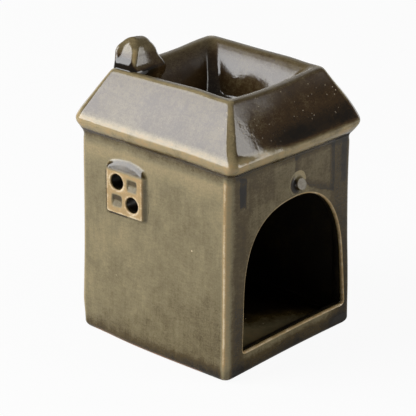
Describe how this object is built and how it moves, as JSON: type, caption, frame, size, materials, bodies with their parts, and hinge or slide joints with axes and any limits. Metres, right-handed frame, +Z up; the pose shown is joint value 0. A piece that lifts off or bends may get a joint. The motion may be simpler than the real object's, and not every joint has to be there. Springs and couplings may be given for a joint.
{
  "type": "wax melt burner",
  "caption": "House-shaped glazed stoneware wax melt burner: an arched doorway for a tealight under an open basin set in the hipped roof, with pierced side windows and a chimney stub.",
  "frame": {"origin": "middle of the foot, on the table", "axes": "+Z up, the doorway faces -Y, and the chimney stands over the corner between -X and +Y"},
  "size_m": [0.0958, 0.0974, 0.1425],
  "materials": {
    "wall_glaze": "olive reactive glaze, gloss, breaking to tan on the edges",
    "pooled_glaze": "dark brown pooled glaze, gloss",
    "roof_glaze": "olive brown reactive glaze, gloss",
    "trim_glaze": "thin tan glaze over pale relief"
  },
  "bodies": {
    "root": {"floor_slab": "pooled_glaze", "house_walls": "wall_glaze", "window_left": "trim_glaze", "window_right": "trim_glaze", "door_boss": "trim_glaze", "hipped_roof": "roof_glaze", "wax_basin": "roof_glaze", "chimney": "roof_glaze"}
  },
  "joints": []
}
